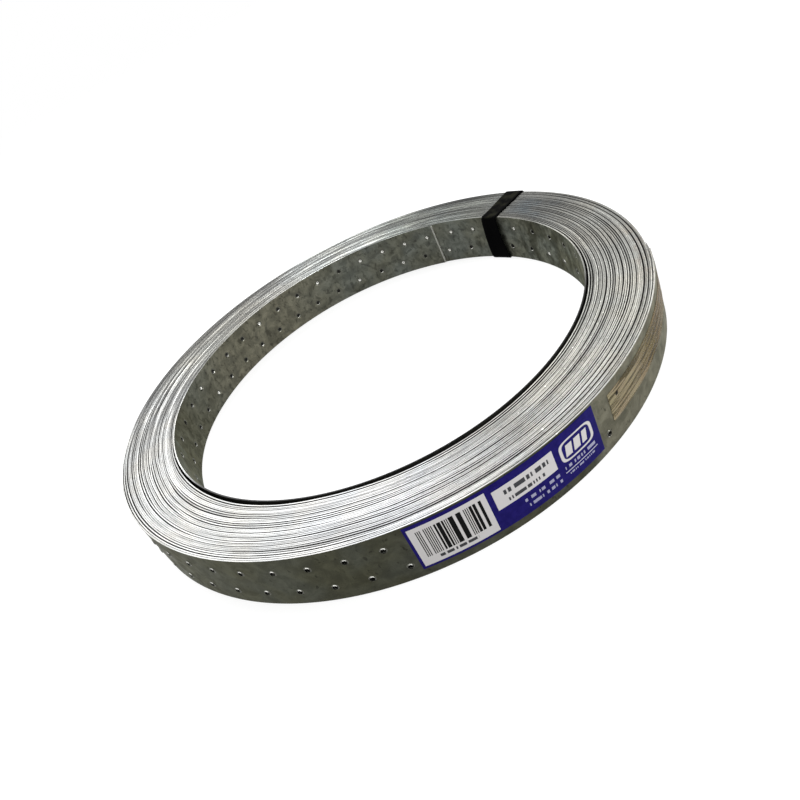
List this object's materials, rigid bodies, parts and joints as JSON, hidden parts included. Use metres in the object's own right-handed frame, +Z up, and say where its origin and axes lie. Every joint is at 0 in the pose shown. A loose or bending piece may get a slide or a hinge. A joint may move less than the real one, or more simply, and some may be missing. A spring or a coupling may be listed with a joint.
{
  "type": "roll of perforated metal strap",
  "caption": "Flat roll of punched galvanised steel strap with two rows of small nail holes, held by a tie band and tape, with a plain label.",
  "frame": {"origin": "on the winding axis, in the plane that the roll lies on", "axes": "+Z up along the winding axis, -Y towards the middle of the label"},
  "size_m": [0.3182, 0.3184, 0.0316],
  "materials": {
    "galvanised_strap": "satin",
    "tie_band": "matte",
    "label": "satin",
    "end_tape": "satin"
  },
  "bodies": {
    "root": {"strap_coil": "galvanised_strap", "tie_band": "tie_band", "label": "label", "end_tape": "end_tape"}
  },
  "joints": []
}
